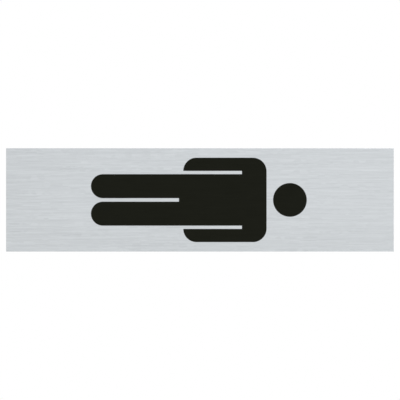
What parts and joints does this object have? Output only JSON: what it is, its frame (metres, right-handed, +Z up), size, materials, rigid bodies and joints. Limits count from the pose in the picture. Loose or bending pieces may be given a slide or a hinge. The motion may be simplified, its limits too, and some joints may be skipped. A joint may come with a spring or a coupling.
{
  "type": "mens toilet sign",
  "caption": "Thin oblong door sign of brushed aluminium with a standing male figure printed on its face in black and an adhesive film on its back.",
  "frame": {"origin": "centre of the adhesive film's rear face, which lies against the door or wall", "axes": "+Z up the figure from feet to head and along the plate's long side, printed face towards -Y, +X to the right as seen from the front"},
  "size_m": [0.044, 0.0012, 0.165],
  "materials": {
    "brushed_aluminium": "fine straight brushing along the long side, satin",
    "black_ink": "screen-printed, low gloss, faintly warm black",
    "adhesive": "milky acrylic adhesive, smooth and a little glossy"
  },
  "bodies": {
    "root": {"sign_plate": "brushed_aluminium", "pictogram_body": "black_ink", "pictogram_head": "black_ink", "adhesive_film": "adhesive"}
  },
  "joints": []
}
